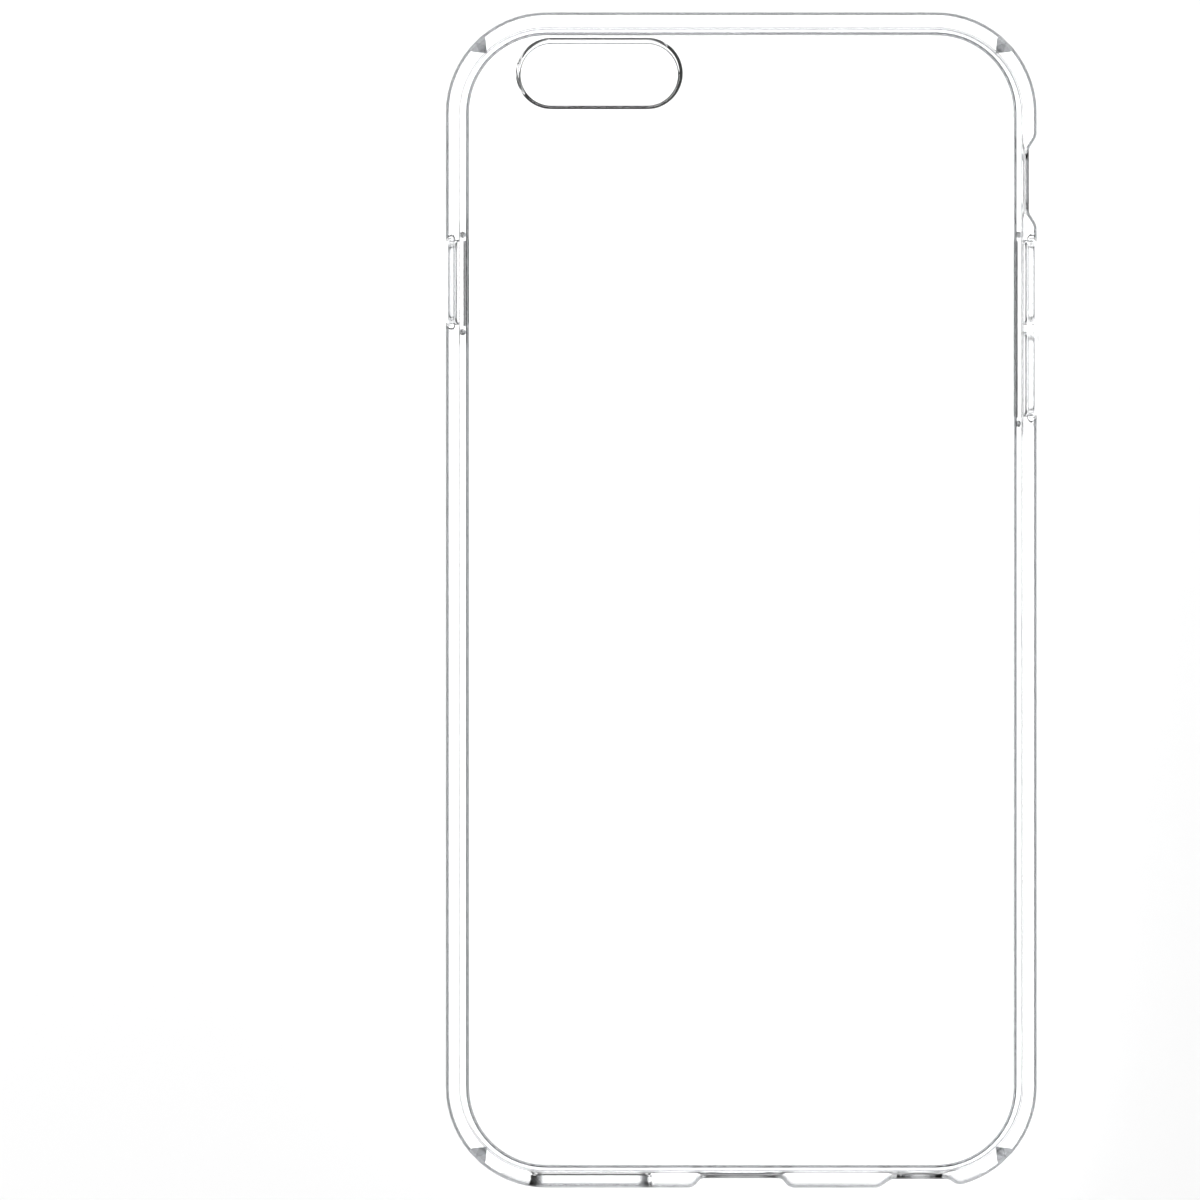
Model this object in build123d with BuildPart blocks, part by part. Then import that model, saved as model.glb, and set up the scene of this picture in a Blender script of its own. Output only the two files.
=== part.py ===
"""Clear two-material phone case for a 5.5 inch phone, lying on its front lip.

Millimetres. +Z is the outside of the back, +Y the end with the camera, and +X the
side with the volume buttons. The origin is under the middle of the case, on the
plane that the front lip rests on.
"""

import os
from math import radians, sqrt, tan

from build123d import *

# The phone that the case holds, and how loosely
PHONE_WIDTH = 77.8
PHONE_LENGTH = 158.1
PHONE_DEPTH = 7.1
FIT_GAP = 0.1

# Walls
SIDE_WALL = 1.8
END_WALL = 2.0
LIP_DEPTH = 1.2
BACK_DEPTH = 1.4
CORNER_RADIUS = 13.9
BACK_ROUND = 1.0
LIP_ROUND = 0.2
LIP_INSET = 3.05
LIP_EDGE = 0.32
BAY_ROUND = 0.25

# Height of a bevel for each unit of its width, a little steeper than 45 degrees
BEVEL_RISE = 1.2

# Joint between the hard back panel and the soft bumper
SEAM_INSET = 3.0
LEDGE_WIDTH = 0.7
LEDGE_DEPTH = 0.5
SEAM_BEVEL = 0.2

# Camera opening in the back panel, and the pocket inside it for the camera's raised rim
CAMERA_LENGTH = 21.7
CAMERA_HEIGHT = 8.5
CAMERA_X = -19.6
CAMERA_Y = 72.5
CAMERA_EDGE = 0.2
POCKET_MARGIN = 0.225
POCKET_BEVEL = 0.45
POCKET_SHIFT = 0.2

# Buttons: a pad stands in a sloped recess, and a thin web joins it to the wall
PAD_LENGTH = 10.6
PAD_HEIGHT = 3.4
PAD_CORNER = 1.1
PAD_EDGE = 0.35
PAD_PROUD = 0.75
PAD_TRAVEL = 0.4
WEB_DEPTH = 0.3
WEB_GAP = 0.1
WINDOW_LENGTH = 11.8
WINDOW_HEIGHT = 5.0
WINDOW_CORNER = 0.4
RECESS_DEPTH = 1.3
RECESS_END_SLOPE = 2.2
RECESS_SIDE_SLOPE = 0.1
RECESS_MARGIN = 0.45
RECESS_CORNER = 1.5
RECESS_EDGE = 0.2
POWER_Y = 43.9
VOLUME_UP_Y = 43.9
VOLUME_DOWN_Y = 31.2

# Bevel that thins the front lip behind the buttons, with a dimple past each end
RELIEF_BEVEL = 0.7
DIMPLE_RADIUS = 0.45
DIMPLE_INSET = 2.25
DIMPLE_PAST_RELIEF = 0.85

# Scoops across the whole wall, each with a window into the phone bay: place along
# the wall, length of mouth and floor, depth, and the window's length, height, corner
MUTE_SCOOP = {"at": 57.9, "mouth": 12.3, "floor": 8.9, "depth": 1.05, "window": (7.8, 4.6, 2.0)}
PORT_SCOOP = {"at": 0.0, "mouth": 13.2, "floor": 11.2, "depth": 1.3, "window": (9.7, 5.4, 2.5)}
JACK_SCOOP = {"at": 24.7, "mouth": 11.4, "floor": 7.9, "depth": 1.2, "window": (6.7, 6.2, 3.0)}
SCOOP_MOUTH_ROUND = 1.7
SCOOP_FLOOR_ROUND = 1.0
WINDOW_EDGE = 0.25

# Speaker slot: a window in a shallow recess that leaves the outline whole
SPEAKER_X = -20.7
SPEAKER_WINDOW = (17.0, 4.4, 2.0)
SPEAKER_RECESS_DEPTH = 0.5
SPEAKER_MARGIN = 0.3
SPEAKER_INNER_BEVEL = 0.35

# V-shaped notch across each corner of the back edge
NOTCH_INSET = 2.3
NOTCH_HALF_ANGLE = 50
NOTCH_HEIGHT = 3.0
NOTCH_REACH = 8.0

OVERSHOOT = 0.2

bay_width = PHONE_WIDTH + 2 * FIT_GAP
bay_length = PHONE_LENGTH + 2 * FIT_GAP
bay_depth = PHONE_DEPTH + FIT_GAP
outer_width = bay_width + 2 * SIDE_WALL
outer_length = bay_length + 2 * END_WALL
total_depth = LIP_DEPTH + bay_depth + BACK_DEPTH
panel_floor = LIP_DEPTH + bay_depth
ledge_top = panel_floor + LEDGE_DEPTH
mid_height = LIP_DEPTH + bay_depth / 2
wall_x = outer_width / 2
wall_y = outer_length / 2

BUTTONS = {
    "power_button": (-1, POWER_Y),
    "volume_up": (1, VOLUME_UP_Y),
    "volume_down": (1, VOLUME_DOWN_Y),
}
# Each row of buttons: the side it is on, and its first and last button's place
BUTTON_ROWS = ((-1, POWER_Y, POWER_Y), (1, VOLUME_UP_Y, VOLUME_DOWN_Y))


def outline(inset):
    """Draws the case's plan outline, moved in by inset, in the current sketch."""
    RectangleRounded(outer_width - 2 * inset, outer_length - 2 * inset, CORNER_RADIUS - inset)


def side_plane(side, y):
    """The outer face of the left (-1) or right (1) wall, facing out, at a place along it."""
    return Plane(origin=(side * wall_x, y, mid_height), x_dir=(0, 1, 0), z_dir=(side, 0, 0))


def bottom_plane(x):
    """The outer face of the bottom wall, facing out, at a place along it."""
    return Plane(origin=(x, -wall_y, mid_height), x_dir=(1, 0, 0), z_dir=(0, -1, 0))


def is_scoop_floor(vertex):
    """True for a corner of the plan where a scoop's floor ends."""
    depth = min(wall_x - abs(vertex.X), wall_y - abs(vertex.Y))
    return depth > MUTE_SCOOP["depth"] - OVERSHOOT


def is_scoop_mouth(vertex, outline_ends):
    """True for a corner of the plan where a scoop leaves the outline."""
    depth = min(wall_x - abs(vertex.X), wall_y - abs(vertex.Y))
    gaps = [(Vector(*vertex) - Vector(*end)).length for end in outline_ends]
    return depth < MUTE_SCOOP["depth"] / 2 and min(gaps) > OVERSHOOT


def cut_recess(face, size, depth, end_slope, side_slope):
    """Cuts a recess whose four walls slope out from a rounded floor to a flat face."""
    length, height, corner = size
    reach = (depth + OVERSHOOT) / depth
    with BuildSketch(face.offset(-depth)) as floor:
        RectangleRounded(length, height, corner)
    with BuildSketch(face.offset(OVERSHOOT)) as mouth:
        RectangleRounded(length + 2 * end_slope * reach, height + 2 * side_slope * reach, corner)
    loft([floor.sketch, mouth.sketch], mode=Mode.SUBTRACT)


def cut_window(face, size, wall):
    """Cuts a rounded window from a flat face through what is left of the wall."""
    with BuildSketch(face.offset(OVERSHOOT)) as window:
        RectangleRounded(*size)
    extrude(window.sketch, amount=-wall - 2 * OVERSHOOT, mode=Mode.SUBTRACT)


def cut_scoop_window(face, scoop, wall):
    """Cuts the window in a scoop's floor, with a bevel round its edge."""
    floor = face.offset(-scoop["depth"])
    slope = WINDOW_EDGE * BEVEL_RISE
    cut_recess(floor, scoop["window"], WINDOW_EDGE, slope, slope)
    cut_window(floor, scoop["window"], wall - scoop["depth"])


def cut_scoop(x, y, rotation, scoop):
    """Cuts a scoop's plan shape out of the current sketch, its mouth centred on x, y."""
    half_mouth = scoop["mouth"] / 2
    half_floor = scoop["floor"] / 2
    past_mouth = half_mouth + OVERSHOOT * (half_mouth - half_floor) / scoop["depth"]
    with Locations((x, y)):
        Polygon(
            (-past_mouth, OVERSHOOT),
            (-half_floor, -scoop["depth"]),
            (half_floor, -scoop["depth"]),
            (past_mouth, OVERSHOOT),
            rotation=rotation,
            align=None,
            mode=Mode.SUBTRACT,
        )


def cut_corner_notch(side_x, side_y):
    """Cuts the V-shaped notch across the back edge of one corner, sinking outwards."""
    half = sqrt(0.5)
    reach = (CORNER_RADIUS - NOTCH_INSET) * half
    start = (
        side_x * (wall_x - CORNER_RADIUS + reach),
        side_y * (wall_y - CORNER_RADIUS + reach),
        total_depth,
    )
    half_width = NOTCH_HEIGHT * tan(radians(NOTCH_HALF_ANGLE))
    across = Plane(
        origin=start, x_dir=(-side_y, side_x, 0), z_dir=(side_x * half, side_y * half, -1)
    )
    with BuildSketch(across) as notch:
        Polygon((0, 0), (half_width, NOTCH_HEIGHT), (-half_width, NOTCH_HEIGHT), align=None)
    extrude(notch.sketch, amount=NOTCH_REACH, mode=Mode.SUBTRACT)


# The space that the phone fills
with BuildPart() as phone_bay:
    with BuildSketch(Plane.XY.offset(LIP_DEPTH)):
        RectangleRounded(bay_width, bay_length, CORNER_RADIUS - SIDE_WALL)
    extrude(amount=bay_depth)
    fillet(phone_bay.edges().group_by(Axis.Z)[0], radius=BAY_ROUND)
    fillet(phone_bay.edges().group_by(Axis.Z)[-1], radius=BAY_ROUND)

# The soft bumper: a ring with a front lip, and every opening in the walls
with BuildPart() as bumper_frame:
    with BuildSketch() as plan:
        outline(0)
        outline_ends = plan.vertices()
        cut_scoop(wall_x, MUTE_SCOOP["at"], -90, MUTE_SCOOP)
        cut_scoop(PORT_SCOOP["at"], -wall_y, 180, PORT_SCOOP)
        cut_scoop(JACK_SCOOP["at"], -wall_y, 180, JACK_SCOOP)
        fillet(plan.vertices().filter_by(is_scoop_floor), radius=SCOOP_FLOOR_ROUND)
        mouths = [v for v in plan.vertices() if is_scoop_mouth(v, outline_ends)]
        fillet(mouths, radius=SCOOP_MOUTH_ROUND)
    extrude(amount=total_depth)
    fillet(bumper_frame.edges().group_by(Axis.Z)[-1], radius=BACK_ROUND)
    fillet(bumper_frame.edges().group_by(Axis.Z)[0], radius=LIP_ROUND)
    add(phone_bay.part, mode=Mode.SUBTRACT)

    # Front opening
    with BuildSketch(Plane.XY.offset(LIP_DEPTH)):
        outline(LIP_INSET)
    extrude(amount=-LIP_DEPTH, mode=Mode.SUBTRACT)
    lip_face = bumper_frame.faces().sort_by(Axis.Z)[0]
    chamfer(
        lip_face.inner_wires().edges(),
        length=LIP_EDGE,
        length2=LIP_EDGE * BEVEL_RISE,
        reference=lip_face,
    )

    # Step that the back panel sits in
    with BuildSketch(Plane.XY.offset(panel_floor)):
        outline(SEAM_INSET - LEDGE_WIDTH)
    extrude(amount=LEDGE_DEPTH, mode=Mode.SUBTRACT)
    with BuildSketch(Plane.XY.offset(ledge_top)):
        outline(SEAM_INSET)
    extrude(amount=total_depth - ledge_top, mode=Mode.SUBTRACT)
    chamfer(bumper_frame.faces().sort_by(Axis.Z)[-1].inner_wires().edges(), length=SEAM_BEVEL)

    # Button recesses, and the thinner lip behind them
    for side, first_y, last_y in BUTTON_ROWS:
        middle_y = (first_y + last_y) / 2
        row_length = first_y - last_y + WINDOW_LENGTH
        cut_recess(
            side_plane(side, middle_y),
            (row_length + 2 * RECESS_MARGIN, WINDOW_HEIGHT, RECESS_CORNER),
            RECESS_DEPTH,
            RECESS_END_SLOPE,
            RECESS_SIDE_SLOPE,
        )
        lip_x = wall_x - LIP_INSET
        with BuildSketch(Plane.XZ.offset(-middle_y)):
            Polygon(
                (side * (lip_x - OVERSHOOT), -OVERSHOOT * BEVEL_RISE),
                (side * (lip_x + RELIEF_BEVEL + OVERSHOOT), -OVERSHOOT * BEVEL_RISE),
                (side * (lip_x - OVERSHOOT), (RELIEF_BEVEL + OVERSHOOT) * BEVEL_RISE),
                align=None,
            )
        extrude(amount=row_length / 2, both=True, mode=Mode.SUBTRACT)
        with Locations((side * (wall_x - DIMPLE_INSET), middle_y)):
            with GridLocations(0, row_length + 2 * DIMPLE_PAST_RELIEF, 1, 2):
                Cone(
                    DIMPLE_RADIUS,
                    0,
                    DIMPLE_RADIUS * BEVEL_RISE,
                    align=(Align.CENTER, Align.CENTER, Align.MIN),
                    mode=Mode.SUBTRACT,
                )

    # Speaker slot: a recess outside, and a bevel on the bay's side
    slot_length, slot_height, slot_corner = SPEAKER_WINDOW
    outer_slope = SPEAKER_RECESS_DEPTH * BEVEL_RISE
    inner_slope = SPEAKER_INNER_BEVEL * BEVEL_RISE
    cut_recess(
        bottom_plane(SPEAKER_X),
        (slot_length + 2 * SPEAKER_MARGIN, slot_height + 2 * SPEAKER_MARGIN, slot_corner),
        SPEAKER_RECESS_DEPTH,
        outer_slope,
        outer_slope,
    )
    bay_face = Plane(
        origin=(SPEAKER_X, END_WALL - wall_y, mid_height), x_dir=(1, 0, 0), z_dir=(0, 1, 0)
    )
    cut_recess(bay_face, SPEAKER_WINDOW, SPEAKER_INNER_BEVEL, inner_slope, inner_slope)

    # Soft edges where the recesses leave the flat walls
    walls = bumper_frame.faces().filter_by(Axis.X) + bumper_frame.faces().filter_by(Axis.Y)
    recess_edges = [
        edge
        for wall in walls
        if abs(wall.center().X) > wall_x - OVERSHOOT or abs(wall.center().Y) > wall_y - OVERSHOOT
        for edge in wall.inner_wires().edges()
    ]
    fillet(recess_edges, radius=RECESS_EDGE)

    # Windows into the bay
    for side, pad_y in BUTTONS.values():
        recess_floor = side_plane(side, pad_y).offset(-RECESS_DEPTH)
        window_size = (WINDOW_LENGTH, WINDOW_HEIGHT, WINDOW_CORNER)
        cut_window(recess_floor, window_size, SIDE_WALL - RECESS_DEPTH)
    cut_scoop_window(side_plane(1, MUTE_SCOOP["at"]), MUTE_SCOOP, SIDE_WALL)
    for scoop in (PORT_SCOOP, JACK_SCOOP):
        cut_scoop_window(bottom_plane(scoop["at"]), scoop, END_WALL)
    cut_window(bottom_plane(SPEAKER_X), SPEAKER_WINDOW, END_WALL)

    for side_x in (-1, 1):
        for side_y in (-1, 1):
            cut_corner_notch(side_x, side_y)

# The hard clear panel that fills the back, with the camera opening
with BuildPart() as back_panel:
    with BuildSketch(Plane.XY.offset(panel_floor)):
        outline(SEAM_INSET - LEDGE_WIDTH)
    extrude(amount=LEDGE_DEPTH)
    with BuildSketch(Plane.XY.offset(ledge_top)):
        outline(SEAM_INSET)
    extrude(amount=total_depth - ledge_top)
    chamfer(back_panel.edges().group_by(Axis.Z)[-1], length=SEAM_BEVEL)
    with BuildSketch(Plane.XY.offset(total_depth)):
        with Locations((CAMERA_X, CAMERA_Y)):
            SlotOverall(CAMERA_LENGTH, CAMERA_HEIGHT)
    extrude(amount=-BACK_DEPTH, mode=Mode.SUBTRACT)
    chamfer(back_panel.faces().sort_by(Axis.Z)[-1].inner_wires().edges(), length=CAMERA_EDGE)
    pocket_rings = []
    for share in (0, 1):
        margin = POCKET_MARGIN + POCKET_BEVEL * (1 - share)
        with BuildSketch(Plane.XY.offset(panel_floor + POCKET_BEVEL * BEVEL_RISE * share)) as ring:
            with Locations((CAMERA_X, CAMERA_Y + POCKET_SHIFT)):
                SlotOverall(CAMERA_LENGTH + 2 * margin, CAMERA_HEIGHT + 2 * margin)
        pocket_rings.append(ring.sketch)
    loft(pocket_rings, mode=Mode.SUBTRACT)


def button_pad(side, y):
    """A raised pad whose inner face comes level with the bay's wall when it is pressed."""
    inner_depth = SIDE_WALL - PAD_TRAVEL
    with BuildPart() as pad:
        with BuildSketch(side_plane(side, y).offset(-inner_depth)):
            RectangleRounded(PAD_LENGTH, PAD_HEIGHT, PAD_CORNER)
        extrude(amount=inner_depth + PAD_PROUD)
        outer_edges = pad.edges().group_by(Axis.X)[-1 if side > 0 else 0]
        fillet(outer_edges, radius=PAD_EDGE)
    return pad


def button_web(side, y):
    """The thin soft ring in a pad's window, flush with the floor of the recess."""
    with BuildPart() as web:
        with BuildSketch(side_plane(side, y).offset(-RECESS_DEPTH - WEB_DEPTH)):
            RectangleRounded(WINDOW_LENGTH, WINDOW_HEIGHT, WINDOW_CORNER)
            RectangleRounded(
                PAD_LENGTH + 2 * WEB_GAP,
                PAD_HEIGHT + 2 * WEB_GAP,
                PAD_CORNER + WEB_GAP,
                mode=Mode.SUBTRACT,
            )
        extrude(amount=WEB_DEPTH)
    return web


os.makedirs("parts", exist_ok=True)

bumper_frame.part.label = "bumper_frame"
export_step(bumper_frame.part, "parts/bumper_frame.step")

back_panel.part.label = "back_panel"
export_step(back_panel.part, "parts/back_panel.step")

for button, (side, pad_y) in BUTTONS.items():
    for kind, piece in (("pad", button_pad(side, pad_y)), ("web", button_web(side, pad_y))):
        piece.part.label = f"{button}_{kind}"
        export_step(piece.part, f"parts/{button}_{kind}.step")
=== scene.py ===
"""The looks of a clear phone case: its materials, back panel, button membranes and studio."""

from math import cos, pi, sin

import bmesh
import bpy
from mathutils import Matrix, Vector


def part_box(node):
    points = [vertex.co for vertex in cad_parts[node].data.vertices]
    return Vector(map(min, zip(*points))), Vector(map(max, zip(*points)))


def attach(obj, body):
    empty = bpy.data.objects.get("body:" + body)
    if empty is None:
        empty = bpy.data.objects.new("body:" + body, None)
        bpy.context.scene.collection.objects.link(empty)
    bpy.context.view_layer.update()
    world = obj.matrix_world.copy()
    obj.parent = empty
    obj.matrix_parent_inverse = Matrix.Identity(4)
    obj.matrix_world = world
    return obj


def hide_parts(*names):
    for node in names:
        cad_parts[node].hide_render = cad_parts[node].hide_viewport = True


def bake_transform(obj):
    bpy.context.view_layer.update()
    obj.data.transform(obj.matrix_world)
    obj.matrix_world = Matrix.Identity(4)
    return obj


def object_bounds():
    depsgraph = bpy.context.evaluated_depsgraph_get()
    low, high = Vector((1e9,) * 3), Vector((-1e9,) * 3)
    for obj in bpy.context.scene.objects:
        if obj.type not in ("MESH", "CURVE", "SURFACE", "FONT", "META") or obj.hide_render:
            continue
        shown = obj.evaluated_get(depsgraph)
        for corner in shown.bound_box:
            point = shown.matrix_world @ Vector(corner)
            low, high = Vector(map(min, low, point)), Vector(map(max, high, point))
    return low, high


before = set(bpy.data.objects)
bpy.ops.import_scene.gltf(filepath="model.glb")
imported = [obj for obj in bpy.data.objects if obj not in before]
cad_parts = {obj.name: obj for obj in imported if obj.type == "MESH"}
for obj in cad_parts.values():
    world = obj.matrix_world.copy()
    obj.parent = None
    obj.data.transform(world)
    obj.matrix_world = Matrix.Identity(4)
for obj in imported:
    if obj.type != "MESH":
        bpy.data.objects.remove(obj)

MM = 0.001

# The back panel's shape, as in the CAD part, with softer edges
CORNER_RADIUS = 13.9 * MM
FLANGE_INSET = 2.3 * MM
FACE_INSET = 3.0 * MM
FLANGE_DEPTH = 0.5 * MM
CAMERA_CENTRE = Vector((-19.6, 72.5)) * MM
CAMERA_SIZE = Vector((21.7, 8.5)) * MM
CAMERA_EDGE = 0.2 * MM
POCKET_MARGIN = 0.225 * MM
POCKET_BEVEL = 0.45 * MM
POCKET_DEPTH = 0.54 * MM
POCKET_SHIFT = Vector((0, 0.2)) * MM
PANEL_EDGE_ROUND = 0.3 * MM
FLAT_MARGIN = 0.1 * MM
PANEL_GAP = 0.025 * MM
CORNER_STEPS = 24
ROUND_STEPS = 4

# The button windows and the thin membranes in them
BUTTONS = ("power_button", "volume_up", "volume_down")
WINDOW_SIZE = Vector((11.8, 5.0)) * MM
WINDOW_RADIUS = 0.4 * MM
PAD_SIZE = Vector((10.6, 3.4)) * MM
PAD_RADIUS = 1.1 * MM
MEMBRANE_DEPTH = 0.3 * MM
MEMBRANE_RISE = 0.35 * MM
MEMBRANE_GAP = 0.02 * MM
MEMBRANE_STEPS = 8

# Meshes: points nearer than this are one point, and edges sharper than this stay crisp
SAME_POINT = 1e-7
CRISP_ANGLE = 0.45

# Plastic: flow waves, haze in patches, hairline scratches along two directions, and specks
HAZE_SCALE = 2.3
SCRATCHES = ((0.45, 2600), (-0.8, 3400))
SCRATCH_ALONG = 55
SCRATCH_CUT = ((0.70, 0.0), (0.78, 1.0))
SCRATCH_ROUGHNESS = 0.12
SCRATCH_STRENGTH = 0.25
SCRATCH_DEPTH = 0.002 * MM
SPECK_SCALE = 900.0
SPECK_CUT = ((0.03, 1.0), (0.07, 0.0))
SPECK_ROUGHNESS = 0.15
CLOUDINESS = ((0.3, 0.985), (0.7, 1.0))

# Where a soft edge gets its painted shade, by how far its surface faces up, with its share
SOFT_EDGE_SHADE = ((0.02, 0.0), (0.08, 1.0), (0.78, 1.0), (0.90, 0.0))
HARD_EDGE_SHADE = ((0.03, 0.0), (0.12, 1.0), (0.93, 1.0), (0.985, 0.0))
THIN_EDGE_SHADE = ((0.02, 0.0), (0.12, 1.0), (0.70, 1.0), (0.84, 0.0))
# Along the bottom rim, below this Y, the painted shade reaches wider across the rounded edge
BOTTOM_SHADE_BAND = ((0.02, 0.0), (0.08, 1.0), (0.80, 0.95), (0.93, 0.75), (0.993, 0.35), (1.0, 0.0))
BOTTOM_SHADE_Y = -79.0 * MM

# The walls beside the buttons: side, and first and last Y. Their outline gets no painted shade, and
# thEir seam gets a darker painted shade.
BUTTON_SPANS = ((-1, 38.2 * MM, 49.6 * MM), (1, 25.5 * MM, 49.6 * MM))
SPAN_FADE = 0.5 * MM
WALL_MIDDLE_X = 39.3 * MM
# The colour of the darker painted shade on the seam beside the buttons
SEAM_SHADE_BY_BUTTONS = (0.012, 0.013, 0.014)

# The studio: a pale floor, a softbox, and a room that is brighter overhead
FLOOR_SIZE = 3
FLOOR_DROP = 0.02 * MM
FLOOR_COLOUR = (0.92, 0.92, 0.92, 1)
ROOM_HEIGHTS = ((0.0, 0.04), (0.3, 0.12), (0.6, 0.7), (0.93, 1.0), (1.0, 1.6))
ROOM_STRENGTH = 0.62
BACKDROP_COLOUR = (0.95, 0.95, 0.95, 1)
SOFTBOX_PLACE = (-0.35, 0.45, 1.2)
SOFTBOX_SIZE = 0.9
SOFTBOX_ENERGY = 14

# The camera: straight above, framed as in the photograph
LENS = 400
SENSOR = 36
CLIP_END = 20
FRAME_WIDTH = 165.6 * MM
FRAME_CENTRE_X = -19.5 * MM

cad_low, cad_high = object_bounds()


def connect(tree, value, socket):
    """Links an output socket to an input socket, or sets the input to a plain value."""
    if isinstance(value, bpy.types.NodeSocket):
        tree.links.new(value, socket)
    else:
        socket.default_value = value


def node(tree, kind, place, settings=(), **inputs):
    """Adds a shader node at a place in the editor, with its settings and named inputs."""
    made = tree.nodes.new(kind)
    made.location = place
    for name, value in dict(settings).items():
        setattr(made, name, value)
    for name, value in inputs.items():
        connect(tree, value, made.inputs[name.replace("_", " ").title()])
    return made


def compute(tree, place, operation, *values):
    """The result of a Math node on sockets or plain numbers."""
    made = node(tree, "ShaderNodeMath", place, {"operation": operation})
    for value, socket in zip(values, made.inputs):
        connect(tree, value, socket)
    return made.outputs["Value"]


def mix(tree, place, share, first, second, blend_type="MIX"):
    """The colour that is a share of the way from first to second."""
    made = node(tree, "ShaderNodeMix", place, {"data_type": "RGBA", "blend_type": blend_type})
    connect(tree, share, made.inputs["Factor"])
    for value, socket in ((first, made.inputs[6]), (second, made.inputs[7])):
        connect(tree, (*value, 1) if isinstance(value, tuple) else value, socket)
    return made.outputs[2]


def map_range(tree, place, value, from_range, to_range):
    """A value moved from one range of numbers to another."""
    made = node(
        tree, "ShaderNodeMapRange", place,
        Value=value,
        From_Min=from_range[0],
        From_Max=from_range[1],
        To_Min=to_range[0],
        To_Max=to_range[1],
    )
    return made.outputs["Result"]


def ramp(tree, place, value, stops):
    """A grey that depends on a value, given as pairs of value and grey."""
    made = node(tree, "ShaderNodeValToRGB", place)
    points = made.color_ramp.elements
    while len(points) < len(stops):
        points.new(0.5)
    for point, (position, grey) in zip(points, stops):
        point.position = position
        point.color = (grey, grey, grey, 1)
    connect(tree, value, made.inputs["Fac"])
    return made.outputs["Color"]


def split(tree, place, vector):
    """The X, Y and Z of a vector, as output sockets."""
    return node(tree, "ShaderNodeSeparateXYZ", place, Vector=vector).outputs


def button_edge_shade(tree, axes, tint, painted_edge_shade):
    """The painted edge shade, except beside the buttons: none outside, and darker painted shade
    along the seam.
    """
    masks = []
    for row, (side, low, high) in enumerate(BUTTON_SPANS):
        height = 1200 + 300 * row
        half = (high - low) / 2
        offset = compute(tree, (-1500, height), "SUBTRACT", axes["Y"], (low + high) / 2)
        away = compute(tree, (-1300, height), "ABSOLUTE", offset)
        fade = map_range(tree, (-1100, height), away, (half, half + SPAN_FADE), (1, 0))
        test = "GREATER_THAN" if side > 0 else "LESS_THAN"
        on_side = compute(tree, (-1100, height + 150), test, axes["X"], 0)
        masks.append(compute(tree, (-900, height), "MULTIPLY", fade, on_side))
    spans = compute(tree, (-700, 1200), "MAXIMUM", *masks)

    # Past the middle of the wall the edge is the case's outline, with no painted shade; inside it,
    # the seam, with darker painted shade
    across = compute(tree, (-1100, 1900), "ABSOLUTE", axes["X"])
    outline = compute(tree, (-900, 1900), "GREATER_THAN", across, WALL_MIDDLE_X)
    shade_beside_buttons = mix(tree, (-700, 1600), outline, SEAM_SHADE_BY_BUTTONS, tint)
    return mix(tree, (-500, 1200), spans, painted_edge_shade, shade_beside_buttons)


def add_scratches(tree, place):
    """A mask of hairline scratches: noise stretched along two directions, cut to thin lines."""
    hairs = []
    for row, (turn, across) in enumerate(SCRATCHES):
        height = -700 - 300 * row
        stretch = node(
            tree, "ShaderNodeMapping", (-1300, height),
            Vector=place,
            Rotation=(0, 0, turn),
            Scale=(across, SCRATCH_ALONG, SCRATCH_ALONG),
        )
        noise = node(
            tree, "ShaderNodeTexNoise", (-1100, height),
            Vector=stretch.outputs["Vector"], Scale=1, Detail=1,
        )
        hairs.append(ramp(tree, (-900, height), noise.outputs["Fac"], SCRATCH_CUT))
    return compute(tree, (-600, -800), "MAXIMUM", *hairs)


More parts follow.
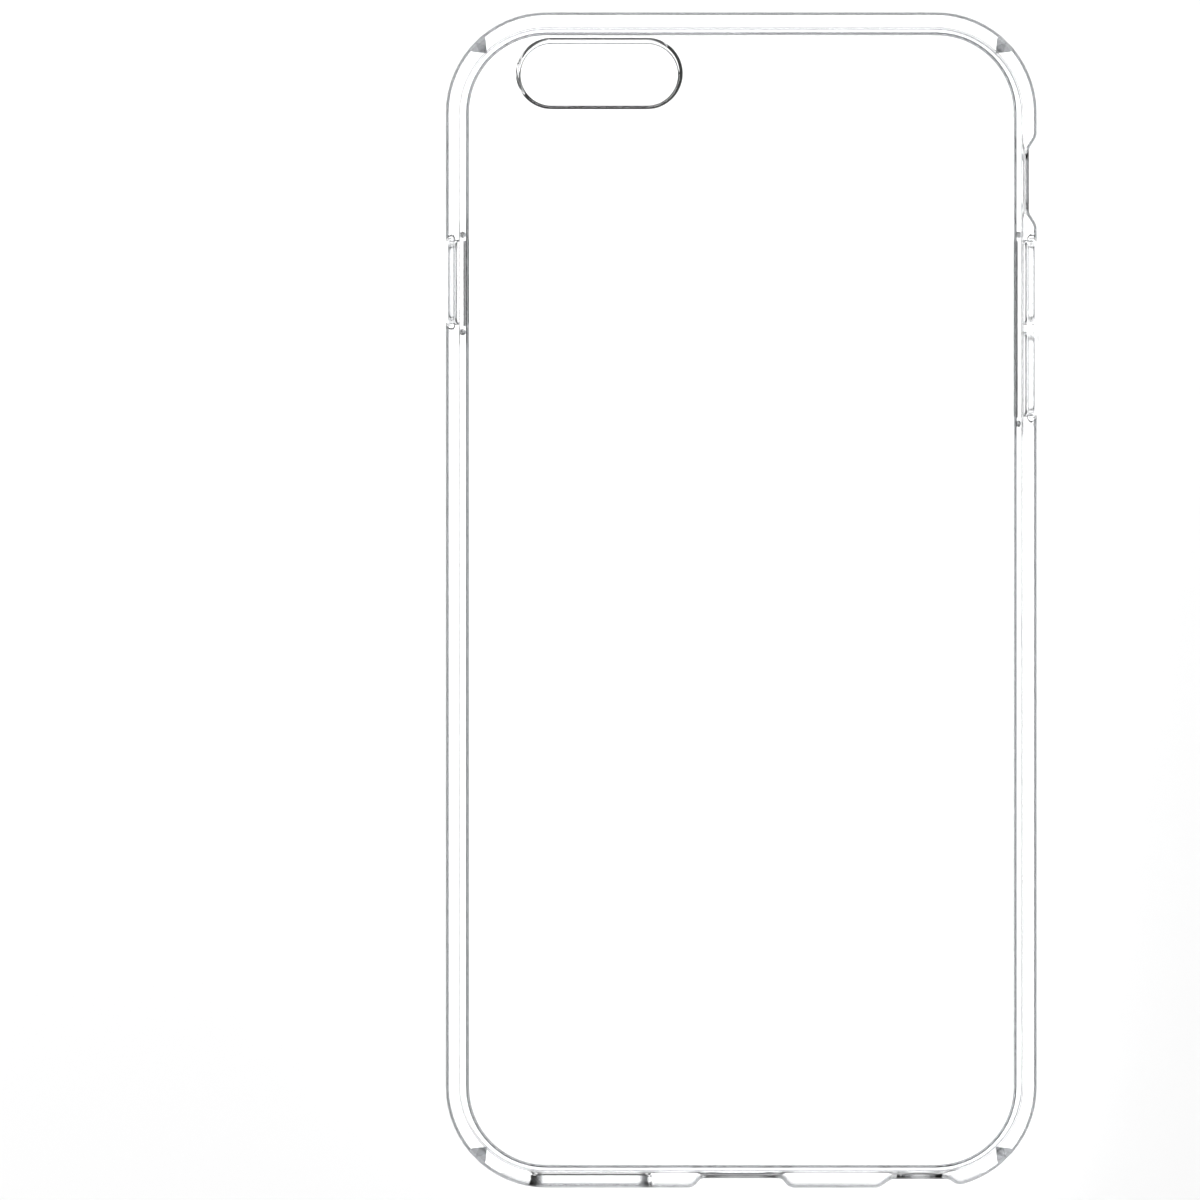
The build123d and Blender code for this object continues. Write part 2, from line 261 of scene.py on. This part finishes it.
def clear_plastic(
    name, ior, tint, painted_edge_shade, edge_shade_band, gloss, haze, wave_scale, wave_height, shade,
    shade_by_buttons=True, bottom_shade_band=None,
):
    """A clear moulded plastic: flow waves, hairline scratches, fine specks and painted shade on its
    edges.
    """
    material = bpy.data.materials.new(name)
    material.use_nodes = True
    tree = material.node_tree
    shader = tree.nodes["Principled BSDF"]
    shader.inputs["Transmission Weight"].default_value = 1
    shader.inputs["IOR"].default_value = ior
    place = node(tree, "ShaderNodeTexCoord", (-1900, 0)).outputs["Object"]
    scratches = add_scratches(tree, place)

    # Slow waves left by the flow of the plastic in the mould, and fine specks
    waves = node(
        tree, "ShaderNodeTexNoise", (-1100, -300), Vector=place, Scale=wave_scale, Detail=2.0
    )
    cells = node(tree, "ShaderNodeTexVoronoi", (-1100, -1300), Vector=place, Scale=SPECK_SCALE)
    specks = ramp(tree, (-900, -1300), cells.outputs["Distance"], SPECK_CUT)

    # Roughness: gloss where clean, haze in patches, more on scratches and specks
    patches = node(
        tree, "ShaderNodeTexNoise", (-1100, 300),
        Vector=place, Scale=wave_scale * HAZE_SCALE, Detail=4.0,
    ).outputs["Fac"]
    finish = map_range(tree, (-600, 300), patches, (0.35, 0.75), (gloss, haze))
    worn = compute(tree, (-400, 100), "MULTIPLY_ADD", scratches, SCRATCH_ROUGHNESS, finish)
    speckled = compute(tree, (-200, 100), "MULTIPLY_ADD", specks, SPECK_ROUGHNESS, worn)
    connect(tree, speckled, shader.inputs["Roughness"])

    # Relief from the waves and the scratches
    relief = node(
        tree, "ShaderNodeBump", (-400, -300),
        Strength=1, Distance=wave_height, Height=waves.outputs["Fac"],
    )
    scored = node(
        tree, "ShaderNodeBump", (-200, -400), {"invert": True},
        Strength=SCRATCH_STRENGTH,
        Distance=SCRATCH_DEPTH,
        Height=scratches,
        Normal=relief.outputs["Normal"],
    )
    connect(tree, scored.outputs["Normal"], shader.inputs["Normal"])

    # Colour: clear on the flats, with painted shade on the sloping and rounded edges, by how far
    # they face up
    faces = node(tree, "ShaderNodeNewGeometry", (-1300, 700))
    facing_up = split(tree, (-1100, 700), faces.outputs["Normal"])["Z"]
    axes = split(tree, (-1700, 1400), place)
    edge_shade_share = ramp(tree, (-600, 700), facing_up, edge_shade_band)
    # Along the bottom rim the painted shade is wider
    if bottom_shade_band:
        at_bottom = compute(tree, (-1500, 2200), "LESS_THAN", axes["Y"], BOTTOM_SHADE_Y)
        bottom_shade_share = ramp(tree, (-1500, 2500), facing_up, bottom_shade_band)
        edge_shade_share = mix(tree, (-1200, 2200), at_bottom, edge_shade_share, bottom_shade_share)
    edge_shade_colour = painted_edge_shade
    if shade_by_buttons:
        edge_shade_colour = button_edge_shade(tree, axes, tint, painted_edge_shade)
    colour = mix(tree, (-300, 800), edge_shade_share, tint, edge_shade_colour)
    cloud = ramp(tree, (-600, 500), patches, CLOUDINESS)
    clouded = mix(tree, (-300, 600), 1, colour, cloud, blend_type="MULTIPLY")
    connect(tree, clouded, shader.inputs["Base Color"])

    # Most light passes straight through to what lies below, so the shadows stay faint
    straight = node(tree, "ShaderNodeBsdfTransparent", (100, -200), Color=(shade, shade, shade, 1))
    path = node(tree, "ShaderNodeLightPath", (100, 400))
    choose = node(tree, "ShaderNodeMixShader", (350, 0), Fac=path.outputs["Is Shadow Ray"])
    connect(tree, shader.outputs["BSDF"], choose.inputs[1])
    connect(tree, straight.outputs["BSDF"], choose.inputs[2])
    connect(tree, choose.outputs["Shader"], tree.nodes["Material Output"].inputs["Surface"])
    return material


def rounded_ring(size, radius, grow=0.0, centre=Vector((0, 0))):
    """Points round a rounded rectangle that is grown outwards on every side, each one once."""
    radius = radius + grow
    points = []
    for corner in range(4):
        side_x = 1 if corner in (0, 3) else -1
        side_y = 1 if corner in (0, 1) else -1
        middle = Vector((
            centre.x + side_x * (size[0] / 2 + grow - radius),
            centre.y + side_y * (size[1] / 2 + grow - radius),
        ))
        for step in range(CORNER_STEPS + 1):
            angle = (corner + step / CORNER_STEPS) * pi / 2
            point = middle + radius * Vector((cos(angle), sin(angle)))
            gaps = [(point - other).length for other in points[:1] + points[-1:]]
            if not gaps or min(gaps) > SAME_POINT:
                points.append(point)
    return points


def quarter(start, end, bulge):
    """Points of a quarter round from start to end that bows towards the corner bulge."""
    points = []
    for step in range(ROUND_STEPS + 1):
        angle = step / ROUND_STEPS * pi / 2
        points.append(bulge + (start - bulge) * (1 - sin(angle)) + (end - bulge) * (1 - cos(angle)))
    return points


def add_rings(mesh, rings):
    """Adds rings of points with the same count, and skins each to the next."""
    loops = [[mesh.verts.new(point) for point in ring] for ring in rings]
    for upper, lower in zip(loops, loops[1:]):
        for i in range(len(upper)):
            j = (i + 1) % len(upper)
            mesh.faces.new((upper[i], lower[i], lower[j], upper[j]))
    return loops


def fill_between(mesh, *loops):
    """Fills the flat area between an outer loop and a hole."""
    edges = []
    for loop in loops:
        for i in range(len(loop)):
            edges.append(mesh.edges.get((loop[i], loop[(i + 1) % len(loop)])))
    bmesh.ops.triangle_fill(mesh, use_beauty=True, edges=edges)


def finish_mesh(mesh, name, material):
    """Makes an object from a bmesh, with smooth shading broken at its crisp edges."""
    bmesh.ops.remove_doubles(mesh, verts=mesh.verts, dist=SAME_POINT)
    bmesh.ops.recalc_face_normals(mesh, faces=mesh.faces)
    data = bpy.data.meshes.new(name)
    mesh.to_mesh(data)
    mesh.free()
    data.shade_smooth()
    data.set_sharp_from_angle(angle=CRISP_ANGLE)
    data.materials.append(material)
    piece = bpy.data.objects.new(name, data)
    bpy.context.scene.collection.objects.link(piece)
    return piece


def build_panel(material):
    """The hard back panel: a flanged plate with a bevelled camera opening."""
    low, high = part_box("back_panel")
    size = (high - low).xy
    face_grow = FLANGE_INSET - FACE_INSET
    top, bottom = high.z, low.z
    ledge = bottom + FLANGE_DEPTH - PANEL_GAP
    r = PANEL_EDGE_ROUND

    # The rim's profile, as pairs of growth past the flange and height
    face = face_grow - PANEL_GAP
    rim = [Vector((face - r - FLAT_MARGIN, top))]
    rim += quarter(Vector((face - r, top)), Vector((face, top - r)), Vector((face, top)))
    rim += [Vector((face, ledge)), Vector((-PANEL_GAP, ledge)), Vector((-PANEL_GAP, bottom))]
    rings = []
    for grow, z in rim:
        ring = rounded_ring(size, CORNER_RADIUS - FLANGE_INSET, grow)
        rings.append([(point.x, point.y, z) for point in ring])

    # The camera opening's profile: soft edge, straight wall, then the pocket for the camera
    ceiling = bottom + POCKET_DEPTH
    here, shifted = CAMERA_CENTRE, CAMERA_CENTRE + POCKET_SHIFT
    wall = [Vector((CAMERA_EDGE + FLAT_MARGIN, top))]
    wall += quarter(Vector((CAMERA_EDGE, top)), Vector((0, top - CAMERA_EDGE)), Vector((0, top)))
    wall = [(grow, z, here) for grow, z in wall] + [(0, ceiling, here)]
    pocket = [(POCKET_MARGIN, ceiling, shifted), (POCKET_MARGIN + POCKET_BEVEL, bottom, shifted)]
    hole_rings = []
    for grow, z, centre in wall + pocket:
        ring = rounded_ring(CAMERA_SIZE, CAMERA_SIZE.y / 2, grow, centre)
        hole_rings.append([(point.x, point.y, z) for point in ring])

    mesh = bmesh.new()
    outer = add_rings(mesh, rings)
    inner = add_rings(mesh, hole_rings)
    fill_between(mesh, outer[0], inner[0])
    fill_between(mesh, outer[-1], inner[-1])
    panel = finish_mesh(mesh, "clear_back_panel", material)
    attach(panel, "case")
    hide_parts("back_panel")
    return panel


def build_membrane(button, material):
    """The thin soft ring round a button pad."""
    low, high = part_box(f"{button}_web")
    pad_low, pad_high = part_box(f"{button}_pad")
    centre = (pad_low + pad_high) / 2
    side = 1 if centre.x > 0 else -1
    outer_x = max(abs(low.x), abs(high.x))
    rings = []

    def section(step, depth):
        """One ring of the membrane: an S curve from the window's edge up to the pad."""
        share = step / MEMBRANE_STEPS
        ease = share * share * (3 - 2 * share)
        size = WINDOW_SIZE.lerp(PAD_SIZE, share)
        radius = WINDOW_RADIUS + (PAD_RADIUS - WINDOW_RADIUS) * share
        grow = MEMBRANE_GAP * (2 * share - 1)
        x = side * (outer_x + MEMBRANE_RISE * ease - depth)
        return [(x, centre.y + p.x, centre.z + p.y) for p in rounded_ring(size, radius, grow)]

    for step in range(MEMBRANE_STEPS + 1):
        rings.append(section(step, 0))
    for step in range(MEMBRANE_STEPS, -1, -1):
        rings.append(section(step, MEMBRANE_DEPTH))
    rings.append(rings[0])
    mesh = bmesh.new()
    add_rings(mesh, rings)
    membrane = finish_mesh(mesh, f"{button}_membrane", material)
    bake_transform(membrane)
    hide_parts(f"{button}_web")
    return membrane


def build_floor():
    """A plain pale floor, wide enough for every view."""
    material = bpy.data.materials.new("studio_floor")
    material.use_nodes = True
    shader = material.node_tree.nodes["Principled BSDF"]
    shader.inputs["Base Color"].default_value = FLOOR_COLOUR
    shader.inputs["Roughness"].default_value = 0.9
    shader.inputs["Specular IOR Level"].default_value = 0.1
    mesh = bmesh.new()
    bmesh.ops.create_grid(mesh, x_segments=4, y_segments=4, size=FLOOR_SIZE)
    bmesh.ops.translate(mesh, verts=mesh.verts, vec=(0, 0, -FLOOR_DROP))
    finish_mesh(mesh, "studio_floor", material)


def build_world():
    """Soft surroundings: bright overhead, darker towards the horizon, plain white to the eye."""
    world = bpy.data.worlds.new("studio_world")
    bpy.context.scene.world = world
    world.use_nodes = True
    tree = world.node_tree
    direction = node(tree, "ShaderNodeTexCoord", (-1200, 0)).outputs["Generated"]
    upward = split(tree, (-1000, 0), direction)["Z"]
    room = tree.nodes["Background"]
    connect(tree, ramp(tree, (-800, 0), upward, ROOM_HEIGHTS), room.inputs["Color"])
    room.inputs["Strength"].default_value = ROOM_STRENGTH
    seen = node(tree, "ShaderNodeBackground", (-300, -200), Color=BACKDROP_COLOUR)
    path = node(tree, "ShaderNodeLightPath", (-300, 300))
    choose = node(tree, "ShaderNodeMixShader", (-50, 0), Fac=path.outputs["Is Camera Ray"])
    connect(tree, room.outputs["Background"], choose.inputs[1])
    connect(tree, seen.outputs["Background"], choose.inputs[2])
    connect(tree, choose.outputs["Shader"], tree.nodes["World Output"].inputs["Surface"])


def add_softbox():
    """A square area light that faces the middle of the case."""
    data = bpy.data.lights.new("key_softbox", "AREA")
    data.shape = "SQUARE"
    data.size = SOFTBOX_SIZE
    data.energy = SOFTBOX_ENERGY
    light = bpy.data.objects.new("key_softbox", data)
    light.location = SOFTBOX_PLACE
    aim = -Vector(SOFTBOX_PLACE)
    light.rotation_mode = "QUATERNION"
    light.rotation_quaternion = aim.to_track_quat("-Z", "Y")
    bpy.context.scene.collection.objects.link(light)


def add_camera():
    """A long lens straight above, which frames the case right of the middle."""
    data = bpy.data.cameras.new("photo_camera")
    data.lens = LENS
    data.sensor_width = SENSOR
    data.clip_end = CLIP_END
    camera = bpy.data.objects.new("photo_camera", data)
    distance = FRAME_WIDTH * LENS / SENSOR
    camera.location = (FRAME_CENTRE_X, 0, cad_high.z + distance)
    bpy.context.scene.collection.objects.link(camera)
    bpy.context.scene.camera = camera


add_camera()

# Each plastic's edge colour and band set its painted edge shade
hard_plastic = clear_plastic(
    "clear_hard_plastic",
    ior=1.58,
    tint=(0.995, 0.998, 1.0),
    painted_edge_shade=(0.1, 0.105, 0.11),
    edge_shade_band=HARD_EDGE_SHADE,
    shade=0.96,
    gloss=0.0,
    haze=0.03,
    wave_scale=28.0,
    wave_height=0.004 * MM,
)
soft_plastic = clear_plastic(
    "clear_soft_plastic",
    ior=1.50,
    tint=(0.99, 0.995, 1.0),
    painted_edge_shade=(0.055, 0.058, 0.062),
    edge_shade_band=SOFT_EDGE_SHADE,
    shade=0.94,
    gloss=0.02,
    haze=0.08,
    wave_scale=60.0,
    wave_height=0.01 * MM,
    bottom_shade_band=BOTTOM_SHADE_BAND,
)
thin_plastic = clear_plastic(
    "clear_thin_plastic",
    ior=1.50,
    tint=(0.99, 0.995, 1.0),
    painted_edge_shade=(0.9, 0.91, 0.92),
    edge_shade_band=THIN_EDGE_SHADE,
    shade=0.96,
    gloss=0.03,
    haze=0.1,
    wave_scale=120.0,
    wave_height=0.01 * MM,
    shade_by_buttons=False,
)

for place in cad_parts["bumper_frame"].material_slots:
    place.material = soft_plastic

build_panel(hard_plastic)
for button in BUTTONS:
    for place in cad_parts[f"{button}_pad"].material_slots:
        place.material = thin_plastic
    build_membrane(button, thin_plastic)

build_floor()
build_world()
add_softbox()
bpy.context.scene.view_settings.view_transform = "Standard"
